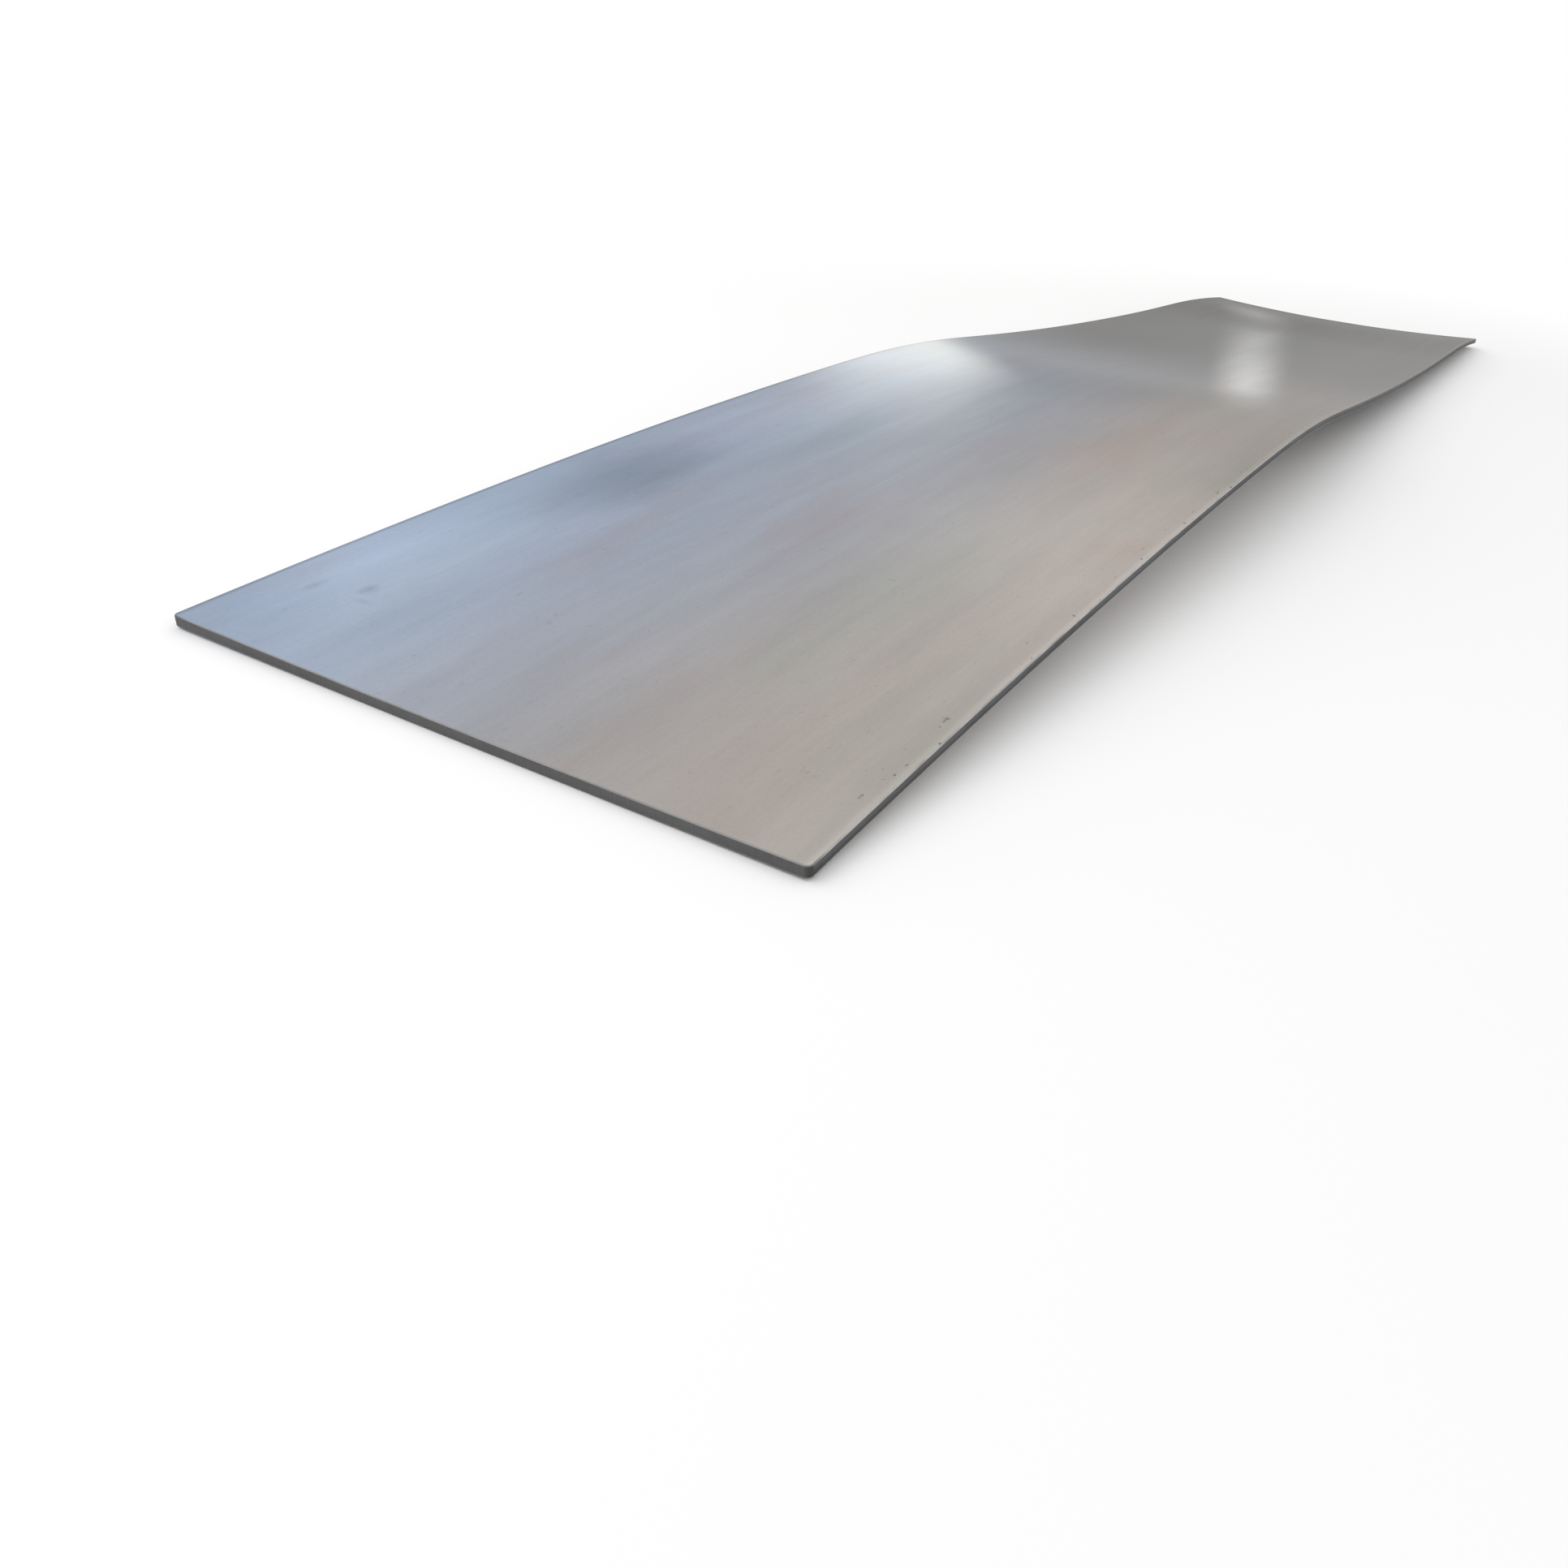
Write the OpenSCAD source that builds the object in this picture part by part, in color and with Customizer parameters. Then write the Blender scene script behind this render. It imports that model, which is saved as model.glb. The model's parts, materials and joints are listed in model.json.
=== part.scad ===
// Hot-rolled steel plate of a stock size, with the long wave that it has taken along its length.
//
// The plate is one rolled piece. Its wave is four stretches, each bent to one radius, and each runs on
// from the last without a kink: a rise from the front end, the crest, the hollow behind it and the tail.
// Across its width the plate is slightly dished, and more so towards the rear, so its sides lie higher
// than its middle line. X runs along the plate from front to rear, Y across it and Z up. The origin is on
// the floor, in the middle of the box that the plate fills. The plate rests on the middle of its two end
// edges, with the stretch between them raised.

/* [Plate] */
// Width of the plate
plate_width = 1220; // [600:10:2500]
// Thickness of the plate
plate_thickness = 20; // [10:1:60]
// Width of the bevel that breaks the sharp edges, measured along either face
edge_break = 2; // [0.5:0.25:2.25]
// Radius of the four corners, seen from above
corner_radius = 10; // [4:1:60]

/* [Rise from the front end] */
// Length of the rise, along the middle of the thickness
rise_run = 2290; // [500:10:5000]
// Radius that the rise bends down to, at the middle of the thickness
rise_radius = 32000; // [10000:500:80000]

/* [Crest] */
// Length of the crest
crest_run = 640; // [200:10:2500]
// Radius that the crest bends down to
crest_radius = 6400; // [3000:100:40000]

/* [Hollow behind the crest] */
// Length of the hollow
hollow_run = 2330; // [500:10:5000]
// Radius that the hollow bends up to
hollow_radius = 37000; // [25000:500:90000]

/* [Tail at the rear end] */
// Length of the tail
tail_run = 840; // [200:10:2500]
// Radius that the tail bends down to
tail_radius = 11700; // [5000:100:60000]

/* [Dish across the width] */
// Depth of the dish at the front end, from the sides down to the middle
front_dish = 4; // [1:0.5:30]
// Depth of the dish at the rear end
rear_dish = 23; // [1:0.5:60]

/* [Hidden] */

steel_grey = [0.60, 0.62, 0.65];

// The largest angle in degrees between two neighbouring sections of a bend
section_turn = 0.25;
// Number of sections that a corner's round is drawn with
corner_steps = 6;
// Number of flats that the dish is drawn with, odd so that one of them lies in the middle
dish_flats = 7;

half_width = plate_width / 2;
half_thickness = plate_thickness / 2;
flat_width = plate_width / dish_flats;

// The stretches from front to rear: length, and radius that bends down, or up where negative
BENDS = [
    [rise_run, rise_radius],
    [crest_run, crest_radius],
    [hollow_run, -hollow_radius],
    [tail_run, tail_radius]
];
tail = len(BENDS) - 1;

// Angle in degrees that stretch i bends down by over a run along it
function turn(i, run) = run / BENDS[i][1] * 180 / PI;
function whole_turn(i) = turn(i, BENDS[i][0]);

// Direction of the plate in degrees above level, where stretch i starts and at a run along it. The front
// end counts as level here, and the whole plate is levelled further down.
function start_heading(i) = i == 0 ? 0 : start_heading(i - 1) - whole_turn(i - 1);
function heading(i, run) = start_heading(i) - turn(i, run);

// Place of the middle of the thickness, as x and z from the front end, at the same two points
function start_place(i) = i == 0 ? [0, 0] : place(i - 1, BENDS[i - 1][0]);
function place(i, run) = start_place(i) + BENDS[i][1] * [
    sin(start_heading(i)) - sin(heading(i, run)),
    cos(heading(i, run)) - cos(start_heading(i))
];

// Unit steps along the plate and out of its upper face, for a direction in degrees
function along(angle) = [cos(angle), sin(angle)];
function out(angle) = [-sin(angle), cos(angle)];

// Run from the front end to the start of stretch i, and the depth of the dish at a run along it
function start_run(i) = i == 0 ? 0 : start_run(i - 1) + BENDS[i - 1][0];
plate_length = start_run(tail) + tail_run;
function dish(i, run) = front_dish + (rear_dish - front_dish) * (start_run(i) + run) / plate_length;

// How far the dish lifts the plate at a distance aside from its middle line
function lift(i, run, aside) =
    let (side_share = aside / half_width) dish(i, run) * side_share * side_share;

// A point of the plate, as x and z, at a run along stretch i and a distance aside, a step out of the
// middle of its thickness
function point(i, run, aside, step) = place(i, run) + (step + lift(i, run, aside)) * out(heading(i, run));

// The two lines that touch the floor lie on the middle flat, at the inner edge of each end's lower bevel
function foot(i, run) = point(i, run, flat_width / 2, -half_thickness);
front_foot = foot(0, edge_break);
rear_foot = foot(tail, tail_run - edge_break);
foot_span = rear_foot - front_foot;

// Angle in degrees that brings both feet to one level
level_turn = atan2(foot_span.y, foot_span.x);
function levelled(p) = [p * along(level_turn), p * out(level_turn)];

// The corners of an end face that reach furthest are the upper ones, where the corner rounds start
function end_top(i, run) =
    point(i, run, half_width - corner_radius - edge_break, half_thickness - edge_break);
front_x = levelled(end_top(0, 0)).x;
rear_x = levelled(end_top(tail, tail_run)).x;
middle_x = (front_x + rear_x) / 2;
floor_z = levelled(front_foot).y;

// An end from its face inwards: run from the end, and how far the section is drawn in from the sides
// and from the faces. The end face is drawn in by the bevel, and the corners follow a quarter circle.
bevel_angle = acos(1 - edge_break / corner_radius);
function corner_angle(k) = bevel_angle + (90 - bevel_angle) * k / corner_steps;
END = concat(
    [[0, corner_radius, edge_break]],
    [
        for (k = [0 : corner_steps])
            [corner_radius * (1 - cos(corner_angle(k))), corner_radius * (1 - sin(corner_angle(k))), 0]
    ]
);

// Number of sections that stretch i is drawn with
function section_count(i) = ceil(abs(whole_turn(i)) / section_turn);

// The plate's sections from front to rear: stretch, run along it, and how far the section is drawn in
SECTIONS = concat(
    [for (e = END) [0, e.x, e.y, e.z]],
    [
        for (i = [0 : tail], k = [1 : section_count(i)])
            if (i < tail || k < section_count(i))
                [i, BENDS[i][0] * k / section_count(i), 0, 0]
    ],
    [for (k = [len(END) - 1 : -1 : 0]) [tail, tail_run - END[k].x, END[k].y, END[k].z]]
);

// Lines along the plate where two flats of the dish meet, as distances from the middle line
FLAT_LINES = [for (k = [1 : dish_flats - 1]) half_width - k * flat_width];

// Corners of a section that is drawn in, as steps aside and out of the middle of the thickness: along
// the upper face from right to left, and back along the lower face
function section_corners(from_sides, from_faces) = let (
    w = half_width - from_sides,
    t = half_thickness - from_faces,
    upper = concat(
        [[-w, t - edge_break], [edge_break - w, t]],
        [for (y = FLAT_LINES) [-y, t]],
        [[w - edge_break, t], [w, t - edge_break]]
    )
) concat(upper, -upper);

// The corners of a section at its place on the plate
function section_points(s) = [
    for (c = section_corners(s[2], s[3]))
        let (p = point(s[0], s[1], c.x, c.y)) [p.x, c.x, p.y]
];

// A solid skin over a row of sections, each a ring of as many points, half of them along the upper face.
// Each end is closed by a row of four-sided faces from one side to the other.
module skin(rings) {
    around = len(rings[0]);
    half_around = around / 2;
    rear = len(rings) - 1;
    sides = [
        for (r = [0 : rear - 1], k = [0 : around - 1])
            let (next = (k + 1) % around)
                [r * around + k, r * around + next, (r + 1) * around + next, (r + 1) * around + k]
    ];
    front_end = [for (k = [1 : half_around - 1]) [around - k, around - k - 1, k, k - 1]];
    rear_end = [
        for (k = [1 : half_around - 1])
            [for (c = [k - 1, k, around - k - 1, around - k]) rear * around + c]
    ];
    polyhedron([for (ring = rings) each ring], concat(sides, front_end, rear_end));
}

module steel_plate() {
    color(steel_grey)
        translate([-middle_x, 0, -floor_z])
            rotate([0, level_turn, 0])
                skin([for (s = SECTIONS) section_points(s)]);
}

steel_plate();
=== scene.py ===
import json
import math

import bmesh
import bpy
from bpy.props import (
    FloatProperty,
    FloatVectorProperty,
    IntProperty,
    PointerProperty,
)
from mathutils import Matrix, Vector


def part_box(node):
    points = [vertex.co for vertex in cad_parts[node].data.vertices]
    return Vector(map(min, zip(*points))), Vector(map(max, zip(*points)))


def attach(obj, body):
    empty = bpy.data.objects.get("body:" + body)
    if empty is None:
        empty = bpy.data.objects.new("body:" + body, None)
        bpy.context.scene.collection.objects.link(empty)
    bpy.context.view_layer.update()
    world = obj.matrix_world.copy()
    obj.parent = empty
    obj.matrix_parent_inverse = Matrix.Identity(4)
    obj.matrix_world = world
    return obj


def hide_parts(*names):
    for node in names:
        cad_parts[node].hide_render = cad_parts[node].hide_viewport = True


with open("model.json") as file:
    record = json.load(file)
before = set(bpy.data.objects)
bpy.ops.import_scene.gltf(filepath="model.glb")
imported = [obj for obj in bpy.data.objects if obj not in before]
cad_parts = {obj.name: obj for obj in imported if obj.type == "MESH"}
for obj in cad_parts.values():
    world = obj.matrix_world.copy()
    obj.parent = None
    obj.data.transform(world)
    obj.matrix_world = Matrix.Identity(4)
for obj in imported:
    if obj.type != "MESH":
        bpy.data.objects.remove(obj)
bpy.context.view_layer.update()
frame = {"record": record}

bl_info = {
    "name": "Steel Plate",
    "version": (1, 0, 0),
    "blender": (4, 5, 0),
    "location": "View3D > Sidebar > Steel Plate",
    "description": "Models a hot-rolled steel plate with its long wave, and a studio to show it in",
    "category": "Object",
}

# The model's box in metres, its one node, and the mount at the middle of the front end
NODE = "steel_plate"
NODE_LOW, NODE_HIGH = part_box(NODE)
FRONT_END = next(m for m in frame["record"]["mounts"] if m["name"] == "front_end")

PLATE = "rolled_plate"
FLOOR = "studio_floor"


# Settings


class RolledPlateSizes(bpy.types.PropertyGroup):
    width: FloatProperty(
        name="Width", description="Width of the plate across the rolling direction",
        default=NODE_HIGH.y - NODE_LOW.y, min=0.1, unit="LENGTH")
    thickness: FloatProperty(
        name="Thickness", description="Thickness of the plate",
        default=0.020, min=0.004, unit="LENGTH")
    rise_run: FloatProperty(
        name="Rise length", description="Length of the rise from the front end",
        default=2.290, min=0.1, unit="LENGTH")
    rise_radius: FloatProperty(
        name="Rise radius", description="Radius that the rise bends down to",
        default=32.0, min=1.0, unit="LENGTH")
    crest_run: FloatProperty(
        name="Crest length", description="Length of the crest of the wave",
        default=0.640, min=0.1, unit="LENGTH")
    crest_radius: FloatProperty(
        name="Crest radius", description="Radius that the crest bends down to",
        default=6.4, min=1.0, unit="LENGTH")
    hollow_run: FloatProperty(
        name="Hollow length", description="Length of the hollow behind the crest",
        default=2.330, min=0.1, unit="LENGTH")
    hollow_radius: FloatProperty(
        name="Hollow radius", description="Radius that the hollow bends up to",
        default=37.0, min=1.0, unit="LENGTH")
    tail_run: FloatProperty(
        name="Tail length", description="Length of the tail at the rear end",
        default=0.840, min=0.1, unit="LENGTH")
    tail_radius: FloatProperty(
        name="Tail radius", description="Radius that the tail bends down to",
        default=11.7, min=1.0, unit="LENGTH")
    front_dish: FloatProperty(
        name="Front dish", description="Depth of the dish across the width at the front end",
        default=0.004, min=0.0, unit="LENGTH")
    rear_dish: FloatProperty(
        name="Rear dish", description="Depth of the dish across the width at the rear end",
        default=0.023, min=0.0, unit="LENGTH")
    corner_radius: FloatProperty(
        name="Corner radius", description="Radius of the four corners, seen from above",
        default=0.010, min=0.001, unit="LENGTH")
    arris: FloatProperty(
        name="Arris", description="Width of the worn round along the sharp edges",
        default=0.0022, min=0.0005, unit="LENGTH")
    unflatness: FloatProperty(
        name="Unflatness", description="Height of the slight buckles that rolling leaves in the face",
        default=0.0012, min=0.0, unit="LENGTH")
    flats_across: IntProperty(
        name="Strips across", description="Number of strips that the face is drawn with across its width",
        default=48, min=4)


class RolledPlateFinish(bpy.types.PropertyGroup):
    # painted reflection: the blue-grey at the left is also a painted reflection of blue sky
    left_colour_and_sky_reflection: FloatVectorProperty(
        name="Left front", description="Blue-grey of the scale at the left of the front end",
        subtype="COLOR", size=3, min=0, max=1, default=(0.395, 0.478, 0.618))
    middle_colour: FloatVectorProperty(
        name="Middle front", description="Grey of the scale in the middle of the front half",
        subtype="COLOR", size=3, min=0, max=1, default=(0.380, 0.384, 0.412))
    # painted reflection: the warm grey at the right is also a painted warm reflection
    right_colour_and_warm_reflection: FloatVectorProperty(
        name="Right front", description="Warm grey of the scale at the right of the front half",
        subtype="COLOR", size=3, min=0, max=1, default=(0.432, 0.397, 0.370))
    # painted shade: the grey towards the rear is darkened by painted shade
    rear_colour_and_shade: FloatVectorProperty(
        name="Rear", description="Darker grey of the scale towards the rear end",
        subtype="COLOR", size=3, min=0, max=1, default=(0.215, 0.211, 0.206))
    blush_tint: FloatVectorProperty(
        name="Blush", description="Warm tint of some of the blotches in the scale",
        subtype="COLOR", size=3, min=0, max=1, default=(1.0, 0.945, 0.930))
    sage_tint: FloatVectorProperty(
        name="Sage", description="Cool green tint of the other blotches in the scale",
        subtype="COLOR", size=3, min=0, max=1, default=(0.945, 0.985, 0.960))
    sheared_colour: FloatVectorProperty(
        name="Sheared edge", description="Grey of the smooth upper part of the cut edges",
        subtype="COLOR", size=3, min=0, max=1, default=(0.160, 0.163, 0.172))
    # painted shade: the dark lower part is also painted shade under the edge
    torn_colour_and_shade: FloatVectorProperty(
        name="Torn edge", description="Dark grey of the rough lower part of the cut edges",
        subtype="COLOR", size=3, min=0, max=1, default=(0.090, 0.090, 0.091))
    # painted highlight: the pale arris colour is also a painted highlight where the edge catches the light
    bare_colour_and_highlight: FloatVectorProperty(
        name="Rubbed arris", description="Pale steel where handling has rubbed the sharp edges bare",
        subtype="COLOR", size=3, min=0, max=1, default=(0.46, 0.455, 0.45))
    scaled_colour: FloatVectorProperty(
        name="Scaled arris", description="Dark scale where the sharp edges have kept it",
        subtype="COLOR", size=3, min=0, max=1, default=(0.120, 0.116, 0.112))
    gloss: FloatProperty(
        name="Roughness", description="Roughness of the rolled face",
        subtype="FACTOR", default=0.13, min=0, max=1)


class StudioSettings(bpy.types.PropertyGroup):
    camera_place: FloatVectorProperty(
        name="Camera", description="Place of the camera",
        subtype="XYZ", unit="LENGTH", size=3, default=(-4.346, -1.2874, 0.9095))
    camera_heading: FloatProperty(
        name="Heading", description="Direction of the view from the length of the plate towards its left",
        subtype="ANGLE", default=math.radians(29.216))
    camera_pitch: FloatProperty(
        name="Pitch", description="How far the camera looks down",
        subtype="ANGLE", default=math.radians(27.782))
    camera_roll: FloatProperty(
        name="Roll", description="How far the camera leans about its view",
        subtype="ANGLE", default=math.radians(5.695))
    camera_lens: FloatProperty(
        name="Lens", description="Focal length in millimetres", default=31.442, min=1)
    room_light: FloatProperty(
        name="Room light", description="Even light that the room gives from all round",
        default=0.84, min=0)
    key_power: FloatProperty(
        name="Key light", description="Power of the large soft light over the front left",
        default=250, min=0, unit="POWER")
    crest_power: FloatProperty(
        name="Crest light", description="Power of the low light that shines on the crest",
        default=90, min=0, unit="POWER")
    streak_power: FloatProperty(
        name="Streak light", description="Power of the small low light that draws the streak at the rear",
        default=4.5, min=0, unit="POWER")
    floor_colour: FloatVectorProperty(
        name="Floor", description="Colour of the floor",
        subtype="COLOR", size=3, min=0, max=1, default=(0.96, 0.96, 0.96))


# Selecting


def only(obj):
    bpy.ops.object.select_all(action="DESELECT")
    obj.select_set(True)
    bpy.context.view_layer.objects.active = obj


def pick(obj, kind, test):
    """Selects the vertices, edges or faces of the mesh in edit mode that pass a test, and counts them."""
    bpy.ops.mesh.select_mode(type={"verts": "VERT", "edges": "EDGE", "faces": "FACE"}[kind])
    bpy.ops.mesh.select_all(action="DESELECT")
    mesh = bmesh.from_edit_mesh(obj.data)
    found = [part for part in getattr(mesh, kind) if test(part)]
    for part in found:
        part.select_set(True)
    mesh.select_flush_mode()
    bmesh.update_edit_mesh(obj.data)
    return len(found)


# Shape, in metres

END_STRIP = 0.014
RING_STEP = 0.020
SAME_POINT = 0.00005
SAME_LINE = 0.0001
SHARP = math.radians(60)
LEVEL = 0.5
CORNER_STEPS = 6
ARRIS_STEPS = 3
FOOT_SHARE = 1 / 7
BUCKLE_SIZE = 0.85
BUCKLE_FADE = 0.7
# Length of each step from one bend to the next, and the share of the change that the steps have made
EASE = 0.12
EASE_SHARES = (0.3, 0.7)


def out(heading):
    """The step out of the upper face, where the plate runs in a direction above level."""
    return Vector((-math.sin(heading), 0, math.cos(heading)))


def wave_stretches(sizes):
    """Length and bend of each stretch from front to rear, with steps that ease one bend into the next."""
    bends = (
        (sizes.rise_run, 1 / sizes.rise_radius), (sizes.crest_run, 1 / sizes.crest_radius),
        (sizes.hollow_run, -1 / sizes.hollow_radius), (sizes.tail_run, 1 / sizes.tail_radius))
    stretches = [(END_STRIP, bends[0][1])]
    for (run, bend), after in zip(bends, bends[1:] + (None,)):
        taken = END_STRIP if len(stretches) == 1 else EASE
        taken += EASE if after else END_STRIP
        stretches.append((run - taken, bend))
        if after:
            stretches += [(EASE, bend + share * (after[1] - bend)) for share in EASE_SHARES]
    stretches.append((END_STRIP, bends[-1][1]))
    return stretches


def model_wave(sizes):
    """A section of the plate, spun through the wave one stretch after the other."""
    place = Vector(FRONT_END["pos_m"])
    axis = Vector(FRONT_END["axis"])
    heading = math.atan2(-axis.z, -axis.x)
    bpy.ops.object.select_all(action="DESELECT")
    bpy.ops.mesh.primitive_grid_add(
        x_subdivisions=1, y_subdivisions=sizes.flats_across, size=1,
        location=place, rotation=(0, math.pi / 2 - heading, 0))
    plate = bpy.context.object
    plate.name = plate.data.name = PLATE
    plate.scale = (sizes.thickness, sizes.width, 1)
    bpy.ops.object.transform_apply(location=True, rotation=True, scale=True)
    bpy.ops.object.mode_set(mode="EDIT")
    for side in (-1, 1):
        bpy.ops.mesh.select_all(action="SELECT")
        bpy.ops.mesh.bisect(
            plane_co=(0, side * (sizes.width / 2 - END_STRIP), 0), plane_no=(0, 1, 0))
    bpy.ops.mesh.select_all(action="SELECT")
    for run, bend in wave_stretches(sizes):
        centre = place - out(heading) / bend
        turn = run * bend
        bpy.ops.mesh.spin(
            steps=max(1, round(run / RING_STEP)), angle=turn, center=centre, axis=(0, -1, 0))
        heading -= turn
        place = centre + out(heading) / bend
    bpy.ops.mesh.select_all(action="SELECT")
    bpy.ops.mesh.remove_doubles(threshold=SAME_POINT)
    bpy.ops.mesh.normals_make_consistent(inside=False)
    bpy.ops.object.mode_set(mode="OBJECT")
    return plate


def model_dish(plate, sizes):
    """Each line of points along the plate is lifted by the dish, more towards the rear."""
    half_width = sizes.width / 2
    length = NODE_HIGH.x - NODE_LOW.x
    front_foot = Vector((NODE_LOW.x, 0, 0))
    bpy.ops.object.mode_set(mode="EDIT")
    lines = sorted({round(v.co.y, 5) for v in plate.data.vertices})
    for y in lines:
        share = max(abs(y) / half_width, FOOT_SHARE) ** 2 - FOOT_SHARE ** 2
        pick(plate, "verts", lambda v: abs(v.co.y - y) < SAME_LINE)
        bpy.ops.transform.translate(value=(0, 0, sizes.front_dish * share))
        lean = math.atan((sizes.rear_dish - sizes.front_dish) * share / length)
        bpy.ops.transform.rotate(value=lean, orient_axis="Y", center_override=front_foot)
    bpy.ops.object.mode_set(mode="OBJECT")


def model_edges(plate, sizes):
    """The four corners are rounded, and then every sharp edge is worn to a small round."""
    half_width = sizes.width / 2
    bpy.ops.object.mode_set(mode="EDIT")

    def is_corner(edge):
        at_side = all(abs(abs(v.co.y) - half_width) < SAME_LINE for v in edge.verts)
        flat = [f for f in edge.link_faces if abs(f.normal.z) > LEVEL]
        return at_side and not flat and edge.calc_face_angle() > SHARP

    if pick(plate, "edges", is_corner) != 4:
        raise RuntimeError("the plate's four corners were not found")
    bpy.ops.mesh.bevel(
        offset=sizes.corner_radius, offset_type="OFFSET", segments=CORNER_STEPS, profile=0.5,
        affect="EDGES")
    pick(plate, "edges", lambda edge: edge.calc_face_angle() > SHARP)
    bpy.ops.mesh.bevel(
        offset=sizes.arris, offset_type="OFFSET", segments=ARRIS_STEPS, profile=0.5, affect="EDGES")
    bpy.ops.mesh.select_all(action="SELECT")
    bpy.ops.mesh.normals_make_consistent(inside=False)
    bpy.ops.object.mode_set(mode="OBJECT")


def model_buckles(plate, sizes):
    """Slight buckles that rolling leaves, which fade out towards the two ends that carry the plate."""
    span = plate.vertex_groups.new(name="free_span")
    for v in plate.data.vertices:
        free = min(1, max(0, (NODE_HIGH.x - abs(v.co.x)) / BUCKLE_FADE))
        span.add([v.index], free * free * (3 - 2 * free), "REPLACE")
    clouds = bpy.data.textures.new("buckles", "CLOUDS")
    clouds.noise_scale = BUCKLE_SIZE
    clouds.noise_depth = 0
    push = plate.modifiers.new("buckles", "DISPLACE")
    push.texture = clouds
    push.texture_coords = "LOCAL"
    push.direction = "Z"
    push.mid_level = 0.5
    push.strength = sizes.unflatness
    push.vertex_group = span.name
    bpy.ops.object.modifier_apply(modifier=push.name)
    plate.vertex_groups.clear()


# Finish

# Upright part of a face's normal: at least this for a rolled face, and at most this for a cut edge
FACE_LEAN = 0.97
EDGE_LEAN = 0.25
FACE_WEIGHT = 100
# Attribute that is 1 along the upper line of the cut edges and 0 along their lower line
UPPER = "upper"

# Patterns: cycles a metre along, across and through the plate, and levels of detail
DRIFT = ((0.35, 1.3, 1.3), 2.0)
BLOTCHES = ((1.3, 5.5, 5.5), 3.0)
PATCHES = ((1.2, 3.6, 3.6), 4.0)
STREAKS = ((0.45, 16, 16), 3.0)
LINES = ((1.6, 120, 120), 2.0)
GRAIN = ((150, 230, 230), 3.0)
PITS = ((45, 80, 80), 2.0)
WANDER = ((4, 9, 9), 3.0)
SHEAR_LINES = ((260, 260, 12), 2.0)
EDGE_PATCHES = ((9, 9, 40), 3.0)
ARRIS_WEAR = ((16, 16, 16), 4.0)
# How strong each finer level of detail is beside the one before
DETAIL_STRENGTH = 0.57

# Zones of the scale, where the blue zone at the left is also a painted reflection of blue sky, the warm zone
# at the right a painted warm reflection and the dark zone at the rear painted shade: spans along in metres,
# spans across as shares of the way from left to right, and how strong a zone still is at the end of a span
LEFT_TO_RIGHT = (0.70, -0.70)
DRIFT_SWING = 0.45
BLUE_REFLECTION_ACROSS = (0.66, 0.0)
BLUE_REFLECTION_ALONG = (-2.7, -0.7)
BLUE_REFLECTION_END = 0.40
WARM_REFLECTION_ACROSS = (0.44, 0.92)
REAR_SHADE_ALONG = (-0.9, 1.0)
REAR_SHADE_ACROSS = (0.5, 1.0)
REAR_SHADE_END = 0.82
BLOTCH_EDGE = 0.50
BLUSH_PEAK = 0.72
SAGE_PEAK = 0.28
BLOTCH_ALONG = (-1.2, 0.6)
BLOTCH_END = 0.4

# How far each pattern swings the tone and the roughness of the face, and where the fine ones fade
STREAK_TONE = PATCH_TONE = 0.20
LINE_TONE = 0.08
GRAIN_TONE = 0.14
FINE_ALONG = (-0.9, 0.6)
FINE_END = 0.2
STREAK_GLOSS = PATCH_GLOSS = 0.05
GRAIN_BUMP = (0.03, 0.0003)

# Rims: how far from the edge each starts and is full, and the share of light that it leaves; the lighter
# right rim is a painted highlight, and the left and rear rims are darker
RIGHT_RIM_HIGHLIGHT = (0.018, 0.004, 1.14)
LEFT_RIM = (0.014, 0.005, 0.74)
REAR_RIM = (0.160, 0.020, 0.82)

# Pits: the part of the pattern that is pitted, where they deepen towards the right side, and their depths
PIT_EDGE = (0.66, 0.76)
PIT_ACROSS = (-0.560, -0.598)
PIT_DEPTHS = (0.10, 0.55)

# The scale is less metallic over the tail
TAIL_ALONG = (1.8, 2.5)
METALLIC = (0.55, 0.18)
SPECULAR_TINT = (0.42, 0.42, 0.42, 1)

# Marks on the face: place, reach along and across, and the share of light that they take, or add
# where negative
MARKS = (
    ((-2.06, 0.45), (0.42, 0.18), 0.28),
    ((-3.05, 0.58), (0.30, 0.30), 0.10),
    ((-2.68, 0.52), (0.40, 0.24), -0.14),
    ((-1.42, 0.47), (0.50, 0.28), -0.20),
    ((-1.75, -0.45), (1.05, 0.45), -0.29),
    ((-1.60, -0.08), (0.65, 0.42), -0.11),
    ((-0.95, -0.12), (0.65, 0.58), -0.18),
    ((-0.50, -0.52), (0.58, 0.36), -0.14),
    ((0.62, 0.36), (0.80, 0.36), 0.13),
    ((-2.98, -0.22), (0.40, 0.52), 0.07),
    ((-2.789, 0.432), (0.034, 0.022), 0.20),
    ((-2.835, 0.516), (0.040, 0.016), 0.12),
    ((-2.829, 0.404), (0.014, 0.030), 0.10),
)
MARK_WANDER = 0.10
# Duller patch behind the crest: place, reach, and the roughness that it adds
DULL_PATCH = ((-0.24, -0.38), (0.40, 0.36), 0.08)

# Cut edges: how far the line between smooth and torn wanders, how sharp it is, how the lines and patches
# swing the tone, and how far from the sides the painted shade on the long edges starts and is full
TEAR_SWING = 0.7
TEAR_EDGE = (0.35, 0.65)
CUT_TONE = 0.5
PAINTED_SIDE_SHADE = (0.010, 0.002, 0.5)
CUT_ROUGHNESS = 0.6
CUT_BUMP = (0.4, 0.0006)
CUT_SPECULAR = 0.3

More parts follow.
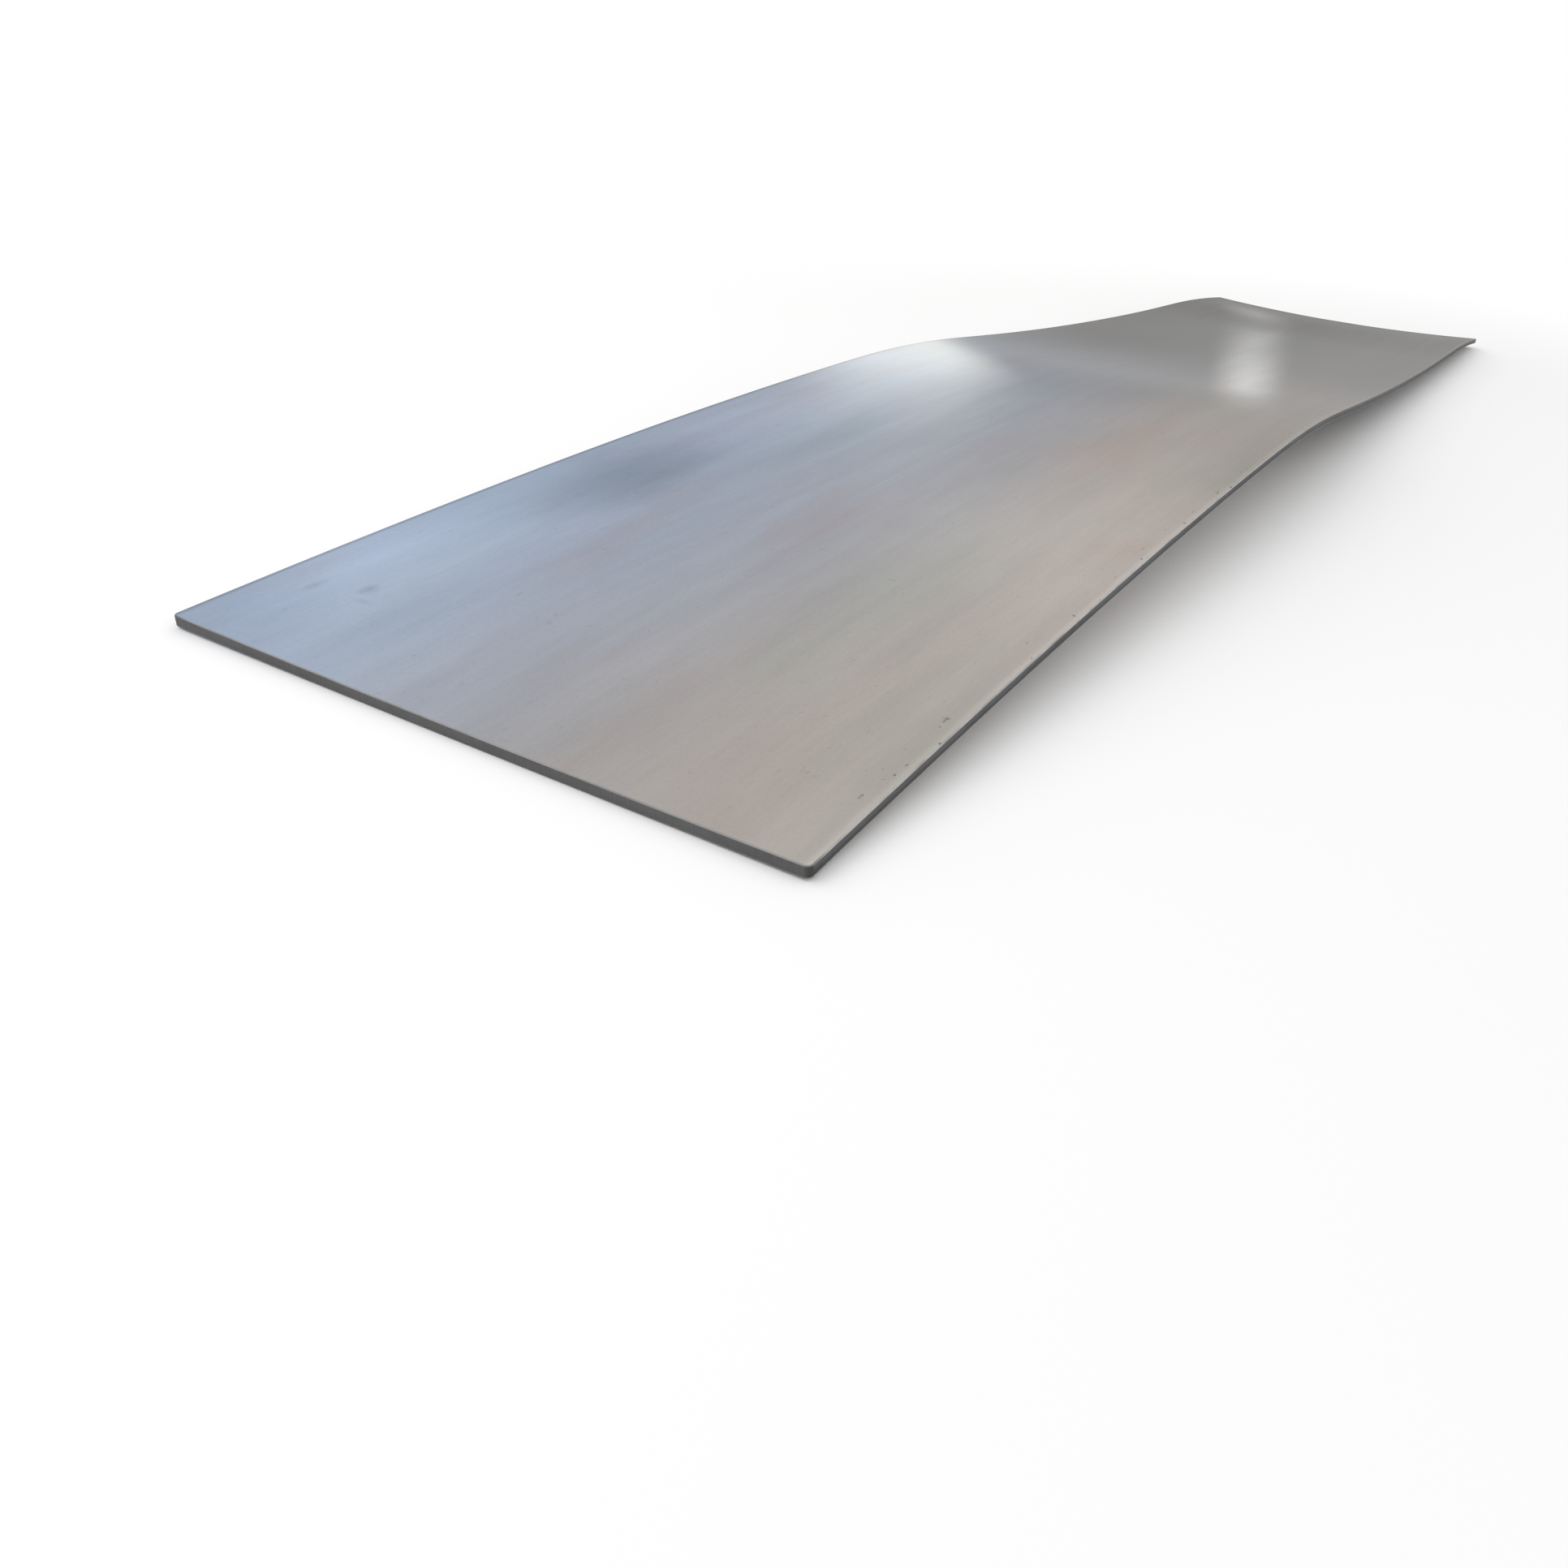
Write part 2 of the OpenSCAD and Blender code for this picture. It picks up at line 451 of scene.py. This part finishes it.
# Arrises: where rubbing and its painted highlight stop short of the left side, of the rear and of the front
# end, and its least share
RUBBED_HIGHLIGHT_ACROSS = (0.600, 0.560)
RUBBED_HIGHLIGHT_ALONG = (0.4, -1.0)
RUBBED_HIGHLIGHT_REAR = 0.15
RUBBED_HIGHLIGHT_FRONT = (0.010, 0.060, 0.3)
WEAR_EDGE = (0.30, 0.60)
WEAR_LEAST = 0.60
ARRIS_METALLIC = 0.8
ARRIS_ROUGHNESS = 0.42


class Nodes:
    """The nodes of a material, a lamp or the room, added one after the other."""

    def __init__(self, owner, output="ShaderNodeOutputMaterial"):
        self.owner = owner
        owner.use_nodes = True
        self.tree = owner.node_tree
        self.tree.nodes.clear()
        self.output = self.tree.nodes.new(output)

    def feed(self, socket, value):
        if isinstance(value, bpy.types.NodeSocket):
            self.tree.links.new(value, socket)
        elif socket.type == "RGBA" and len(value) == 3:
            socket.default_value = (*value, 1)
        else:
            socket.default_value = value

    def add(self, kind, *inputs, named=None, **settings):
        node = self.tree.nodes.new(kind)
        for key, value in settings.items():
            setattr(node, key, value)
        for socket, value in zip(node.inputs, inputs):
            self.feed(socket, value)
        for key, value in (named or {}).items():
            self.feed(node.inputs[key], value)
        return node

    def place(self):
        return self.add("ShaderNodeTexCoord").outputs["Object"]

    def axes(self, vector):
        split = self.add("ShaderNodeSeparateXYZ", vector)
        return split.outputs["X"], split.outputs["Y"]

    def scaled(self, vector, scale, move=(0, 0, 0)):
        return self.add(
            "ShaderNodeMapping", named={"Vector": vector, "Scale": scale, "Location": move}).outputs[0]

    def noise(self, vector, pattern, output="Fac"):
        scale, detail = pattern
        return self.add("ShaderNodeTexNoise", named={
            "Vector": self.scaled(vector, scale), "Scale": 1.0, "Detail": detail,
            "Roughness": DETAIL_STRENGTH,
        }).outputs[output]

    def math(self, operation, *values):
        return self.add("ShaderNodeMath", *values, operation=operation).outputs[0]

    def swing(self, noise, amount, base=0.0):
        """The noise as a swing about a base, by an amount."""
        return self.math("MULTIPLY_ADD", noise, amount, base - amount / 2)

    def span(self, value, low, high, first=0.0, last=1.0):
        return self.add(
            "ShaderNodeMapRange", clamp=True, interpolation_type="SMOOTHSTEP", named={
                "Value": value, "From Min": low, "From Max": high, "To Min": first, "To Max": last,
            }).outputs["Result"]

    def wander(self, vector, pattern, amount):
        """The place, moved about by a noise."""
        shift = self.add(
            "ShaderNodeVectorMath", self.noise(vector, pattern, "Color"), (0.5, 0.5, 0.5),
            operation="SUBTRACT").outputs[0]
        return self.add(
            "ShaderNodeVectorMath", shift, (amount, amount, 0), vector,
            operation="MULTIPLY_ADD").outputs[0]

    def spot(self, vector, centre, reach):
        """1 at a place on the face, and 0 at its reach along and across."""
        near = self.scaled(
            vector, (1 / reach[0], 1 / reach[1], 0), (-centre[0] / reach[0], -centre[1] / reach[1], 0))
        away = self.add("ShaderNodeVectorMath", near, operation="LENGTH").outputs["Value"]
        return self.span(away, 1.0, 0.0)

    def mix(self, share, first, last, blend="MIX"):
        node = self.add("ShaderNodeMix", data_type="RGBA", blend_type=blend, clamp_factor=True)
        self.feed(node.inputs[0], share)
        self.feed(node.inputs[6], first)
        self.feed(node.inputs[7], last)
        return node.outputs[2]

    def toned(self, colour, tone):
        grey = self.add("ShaderNodeCombineColor", tone, tone, tone).outputs[0]
        return self.mix(1.0, colour, grey, "MULTIPLY")

    def bump(self, height, strength, distance):
        return self.add("ShaderNodeBump", named={
            "Height": height, "Strength": strength, "Distance": distance}).outputs["Normal"]

    def shade(self, **inputs):
        shader = self.add(
            "ShaderNodeBsdfPrincipled", named={k.replace("_", " "): v for k, v in inputs.items()})
        self.tree.links.new(shader.outputs[0], self.output.inputs["Surface"])
        return self.owner


def scale_colour(n, place, finish):
    """The colour of the mill scale: four zones that run into each other, with blotches of two tints. The
    blue zone at the left is also a painted reflection of blue sky, the warm zone at the right a painted warm
    reflection, and the darker zone at the rear painted shade.
    """
    x, y = n.axes(place)
    across = n.math("ADD", n.span(y, *LEFT_TO_RIGHT), n.swing(n.noise(place, DRIFT), DRIFT_SWING))
    # painted reflection of blue sky, towards the left front
    blue = n.math("MULTIPLY", n.span(across, *BLUE_REFLECTION_ACROSS), n.span(x, *BLUE_REFLECTION_ALONG, 1.0, BLUE_REFLECTION_END))
    colour = n.mix(blue, tuple(finish.middle_colour), tuple(finish.left_colour_and_sky_reflection))
    # painted warm reflection towards the right
    colour = n.mix(n.span(across, *WARM_REFLECTION_ACROSS), colour, tuple(finish.right_colour_and_warm_reflection))
    # painted shade: darker towards the rear
    dark = n.math("MULTIPLY", n.span(x, *REAR_SHADE_ALONG), n.span(across, *REAR_SHADE_ACROSS, 1.0, REAR_SHADE_END))
    colour = n.mix(dark, colour, tuple(finish.rear_colour_and_shade))
    blotches = n.noise(place, BLOTCHES)
    strength = n.span(x, *BLOTCH_ALONG, 1.0, BLOTCH_END)
    for tint, peak in ((finish.blush_tint, BLUSH_PEAK), (finish.sage_tint, SAGE_PEAK)):
        share = n.math("MULTIPLY", n.span(blotches, BLOTCH_EDGE, peak), strength)
        colour = n.mix(share, colour, tuple(tint), "MULTIPLY")
    return colour


def rolled_face(finish):
    """Mill scale with rolling streaks, grain, dull marks, small pits, a painted highlight along the right
    edge and darker rims at the left and the rear.
    """
    n = Nodes(bpy.data.materials.new("rolled_face"))
    place = n.place()
    x, y = n.axes(place)
    streaks, patches = n.noise(place, STREAKS), n.noise(place, PATCHES)
    lines, grain = n.noise(place, LINES), n.noise(place, GRAIN)
    fine = n.math("ADD", n.swing(lines, LINE_TONE), n.swing(grain, GRAIN_TONE))
    tone = n.math("ADD", n.swing(streaks, STREAK_TONE, 1.0), n.swing(patches, PATCH_TONE))
    tone = n.math("MULTIPLY_ADD", fine, n.span(x, *FINE_ALONG, 1.0, FINE_END), tone)
    rough_place = n.wander(place, WANDER, MARK_WANDER)
    for centre, reach, share in MARKS:
        large = reach[0] > MARK_WANDER
        mark = n.spot(rough_place if large else place, centre, reach)
        tone = n.math("MULTIPLY", tone, n.math("MULTIPLY_ADD", mark, -share, 1.0))
    # painted highlight: the right rim is lighter; the left and rear rims are darker
    rims = (
        (y, NODE_LOW.y, 1, RIGHT_RIM_HIGHLIGHT), (y, NODE_HIGH.y, -1, LEFT_RIM), (x, NODE_HIGH.x, -1, REAR_RIM))
    for axis, edge, inwards, (start, full, share) in rims:
        rim = n.span(axis, edge + inwards * start, edge + inwards * full, 1.0, share)
        tone = n.math("MULTIPLY", tone, rim)
    pits = n.math(
        "MULTIPLY", n.span(n.noise(place, PITS), *PIT_EDGE), n.span(y, *PIT_ACROSS, *PIT_DEPTHS))
    tone = n.math("MULTIPLY", tone, n.math("SUBTRACT", 1.0, pits))
    roughness = n.math("ADD", n.swing(streaks, STREAK_GLOSS, finish.gloss), n.swing(patches, PATCH_GLOSS))
    centre, reach, dullness = DULL_PATCH
    roughness = n.math("MULTIPLY_ADD", n.spot(place, centre, reach), dullness, roughness)
    return n.shade(
        Base_Color=n.toned(scale_colour(n, place, finish), tone),
        Metallic=n.span(x, *TAIL_ALONG, *METALLIC), Roughness=roughness,
        Normal=n.bump(grain, *GRAIN_BUMP), Specular_Tint=SPECULAR_TINT, Specular_IOR_Level=0.0)


def cut_edge(finish):
    """Cut edge: smooth and paler above, torn and darker below, the darker part also painted shade under the
    edge, with fine lines through the thickness; the long side edges are darkened by painted shade.
    """
    n = Nodes(bpy.data.materials.new("cut_edge"))
    place = n.place()
    lines, patches = n.noise(place, SHEAR_LINES), n.noise(place, EDGE_PATCHES)
    upper = n.add("ShaderNodeAttribute", attribute_name=UPPER).outputs["Fac"]
    depth = n.math("ADD", upper, n.swing(patches, TEAR_SWING))
    # painted shade: the torn lower part of the edge is darker
    colour = n.mix(n.span(depth, *TEAR_EDGE), tuple(finish.torn_colour_and_shade), tuple(finish.sheared_colour))
    tone = n.math("ADD", n.swing(lines, CUT_TONE, 1.0), n.swing(patches, CUT_TONE))
    # painted shade: the long side edges are darker
    aside = n.math("ABSOLUTE", n.axes(place)[1])
    start, full, share = PAINTED_SIDE_SHADE
    tone = n.math("MULTIPLY", tone, n.span(aside, NODE_HIGH.y - start, NODE_HIGH.y - full, 1.0, share))
    return n.shade(
        Base_Color=n.toned(colour, tone), Metallic=0.0, Roughness=CUT_ROUGHNESS,
        Normal=n.bump(lines, *CUT_BUMP), Specular_IOR_Level=CUT_SPECULAR)


def worn_arris(finish):
    """Bare steel and a painted highlight along the right, less at the front, and dark scale along the left
    and the rear.
    """
    n = Nodes(bpy.data.materials.new("worn_arris"))
    place = n.place()
    x, y = n.axes(place)
    # painted highlight: pale along the right and at the front, broken up by rubbed wear
    rubbed = n.math("MULTIPLY", n.span(y, *RUBBED_HIGHLIGHT_ACROSS), n.span(x, *RUBBED_HIGHLIGHT_ALONG, RUBBED_HIGHLIGHT_REAR, 1.0))
    start, full, share = RUBBED_HIGHLIGHT_FRONT
    rubbed = n.math("MULTIPLY", rubbed, n.span(x, NODE_LOW.x + start, NODE_LOW.x + full, share, 1.0))
    wear = n.span(n.noise(place, ARRIS_WEAR), *WEAR_EDGE, WEAR_LEAST, 1.0)
    colour = n.mix(
        n.math("MULTIPLY", wear, rubbed), tuple(finish.scaled_colour), tuple(finish.bare_colour_and_highlight))
    return n.shade(Base_Color=colour, Metallic=ARRIS_METALLIC, Roughness=ARRIS_ROUGHNESS)


def dress(plate, finish):
    """The faces, the cut edges and the worn rounds between them each get their finish."""
    for material in (rolled_face(finish), cut_edge(finish), worn_arris(finish)):
        plate.data.materials.append(material)
    upper = plate.data.attributes.new(UPPER, "FLOAT", "POINT")
    for face in plate.data.polygons:
        upright = abs(face.normal.z)
        face.material_index = 0 if upright > FACE_LEAN else 1 if upright < EDGE_LEAN else 2
        if face.normal.z > EDGE_LEAN:
            for index in face.vertices:
                upper.data[index].value = 1.0
    only(plate)
    bpy.ops.object.shade_smooth()
    even = plate.modifiers.new("even_normals", "WEIGHTED_NORMAL")
    even.weight = FACE_WEIGHT
    bpy.ops.object.modifier_apply(modifier=even.name)


class PLATE_OT_rolled_plate(bpy.types.Operator):
    """Models the rolled plate with its wave, its edges and its finish"""
    bl_idname = "plate.rolled_plate"
    bl_label = "Rolled plate"
    bl_options = {"REGISTER", "UNDO"}

    def execute(self, context):
        sizes = context.scene.rolled_plate_sizes
        plate = model_wave(sizes)
        model_dish(plate, sizes)
        model_edges(plate, sizes)
        model_buckles(plate, sizes)
        dress(plate, context.scene.rolled_plate_finish)
        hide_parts(NODE)
        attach(plate, "root")
        return {"FINISHED"}


# Stage

FLOOR_RADIUS = 26.0
FLOOR_SIDES = 96
FLOOR_FADE_START = 1.7
FLOOR_FADE_END = 3.2
FLOOR_FADE_SHAPE = (0.5, 1.0, 1.0)
FLOOR_FADE_MOVE = (0.4, 0.0, 0.0)
SENSOR_WIDTH = 36
# Lamps: name, shape, place, point that it is turned to, width, height, the share of its size that is fully
# bright, colour, and the setting for its power
WHITE = (1.0, 1.0, 1.0)
WARM = (1.0, 0.99, 0.86)
LAMPS = (
    ("key_light", "RECTANGLE", (-5.0, 4.5, 6.5), (-0.3, 0.0, 0.0), 10.0, 8.0, 1.0, WHITE, "key_power"),
    ("crest_light", "ELLIPSE", (7.21, 4.76, 1.78), (-0.7, 0.45, 0.16), 3.2, 2.9, 0.5, WARM, "crest_power"),
    ("streak_light", "ELLIPSE", (9.48, 1.84, 0.55), (0.7, -0.1, 0.07), 0.8, 0.6, 0.0, WHITE, "streak_power"),
)


def soften(lamp, core):
    """The lamp's light falls off from its core to its rim, which lie at that share and at 1."""
    n = Nodes(lamp, "ShaderNodeOutputLight")
    spot = n.add("ShaderNodeNewGeometry").outputs["Parametric"]
    away = n.add(
        "ShaderNodeVectorMath", n.scaled(spot, (2, 2, 0), (-1, -1, 0)), operation="LENGTH").outputs["Value"]
    light = n.add("ShaderNodeEmission", WHITE, n.span(away, 1.0, core))
    n.feed(n.output.inputs["Surface"], light.outputs[0])


def add_lamp(name, shape, place, target, width, height, core, colour, power):
    bpy.ops.object.light_add(type="AREA", location=place)
    lamp = bpy.context.object
    lamp.name = lamp.data.name = name
    lamp.data.shape = shape
    lamp.data.size, lamp.data.size_y = width, height
    lamp.data.energy = power
    lamp.data.color = colour
    lamp.visible_camera = False
    lamp.rotation_euler = (Vector(target) - Vector(place)).to_track_quat("-Z", "Y").to_euler()
    if core < 1:
        soften(lamp.data, core)


def floor_finish(studio):
    """Matt pale floor that fades into the white of the room away from the plate."""
    n = Nodes(bpy.data.materials.new("pale_floor"))
    matt = n.add("ShaderNodeBsdfDiffuse", tuple(studio.floor_colour))
    white = n.add("ShaderNodeEmission", WHITE, 1.0)
    away = n.add(
        "ShaderNodeVectorMath", n.scaled(n.place(), FLOOR_FADE_SHAPE, FLOOR_FADE_MOVE),
        operation="LENGTH").outputs["Value"]
    rim = n.span(away, FLOOR_FADE_START, FLOOR_FADE_END)
    blend = n.add("ShaderNodeMixShader", rim, matt.outputs[0], white.outputs[0])
    n.feed(n.output.inputs["Surface"], blend.outputs[0])
    return n.owner


def room_light(scene, studio):
    """Even light all round, white where the camera or a reflection sees it."""
    scene.world = bpy.data.worlds.new("studio_room")
    n = Nodes(scene.world, "ShaderNodeOutputWorld")
    path = n.add("ShaderNodeLightPath").outputs
    seen = path["Is Camera Ray"]
    for ray in ("Is Glossy Ray", "Is Transmission Ray"):
        seen = n.math("MAXIMUM", seen, path[ray])
    soft = n.add("ShaderNodeBackground", WHITE, studio.room_light)
    white = n.add("ShaderNodeBackground", WHITE, 1.0)
    blend = n.add("ShaderNodeMixShader", seen, soft.outputs[0], white.outputs[0])
    n.feed(n.output.inputs["Surface"], blend.outputs[0])


class PLATE_OT_studio(bpy.types.Operator):
    """Sets up the floor, the lights and the camera"""
    bl_idname = "plate.studio"
    bl_label = "Studio"
    bl_options = {"REGISTER", "UNDO"}

    def execute(self, context):
        scene = context.scene
        studio = scene.studio_settings
        bpy.ops.object.select_all(action="DESELECT")
        bpy.ops.mesh.primitive_circle_add(vertices=FLOOR_SIDES, radius=FLOOR_RADIUS, fill_type="NGON")
        floor = context.object
        floor.name = floor.data.name = FLOOR
        floor.data.materials.append(floor_finish(studio))
        room_light(scene, studio)
        for *lamp, power in LAMPS:
            add_lamp(*lamp, getattr(studio, power))
        bpy.ops.object.camera_add(location=studio.camera_place)
        camera = context.object
        camera.name = camera.data.name = "photo_camera"
        turn = (
            Matrix.Rotation(studio.camera_heading - math.pi / 2, 3, "Z")
            @ Matrix.Rotation(math.pi / 2 - studio.camera_pitch, 3, "X")
            @ Matrix.Rotation(studio.camera_roll, 3, "Z")
        )
        camera.rotation_euler = turn.to_euler()
        camera.data.lens = studio.camera_lens
        camera.data.sensor_width = SENSOR_WIDTH
        scene.camera = camera
        scene.view_settings.view_transform = "Standard"
        return {"FINISHED"}


class PLATE_PT_panel(bpy.types.Panel):
    """Lists the plate's settings and the steps that make it"""
    bl_idname = "PLATE_PT_panel"
    bl_label = "Steel Plate"
    bl_space_type = "VIEW_3D"
    bl_region_type = "UI"
    bl_category = "Steel Plate"

    def draw(self, context):
        scene = context.scene
        for title, group, operator in (
            ("Sizes", scene.rolled_plate_sizes, None),
            ("Finish", scene.rolled_plate_finish, PLATE_OT_rolled_plate),
            ("Studio", scene.studio_settings, PLATE_OT_studio),
        ):
            box = self.layout.box()
            box.label(text=title)
            for key in group.bl_rna.properties.keys():
                if key not in ("rna_type", "name"):
                    box.prop(group, key)
            if operator:
                box.operator(operator.bl_idname)


CLASSES = (
    RolledPlateSizes, RolledPlateFinish, StudioSettings,
    PLATE_OT_rolled_plate, PLATE_OT_studio, PLATE_PT_panel,
)
SETTINGS = {
    "rolled_plate_sizes": RolledPlateSizes,
    "rolled_plate_finish": RolledPlateFinish,
    "studio_settings": StudioSettings,
}


def register():
    for cls in CLASSES:
        bpy.utils.register_class(cls)
    for name, group in SETTINGS.items():
        setattr(bpy.types.Scene, name, PointerProperty(type=group))


def unregister():
    for name in SETTINGS:
        delattr(bpy.types.Scene, name)
    for cls in reversed(CLASSES):
        bpy.utils.unregister_class(cls)


def main():
    register()
    bpy.ops.plate.rolled_plate()
    bpy.ops.plate.studio()


if __name__ == "__main__":
    main()
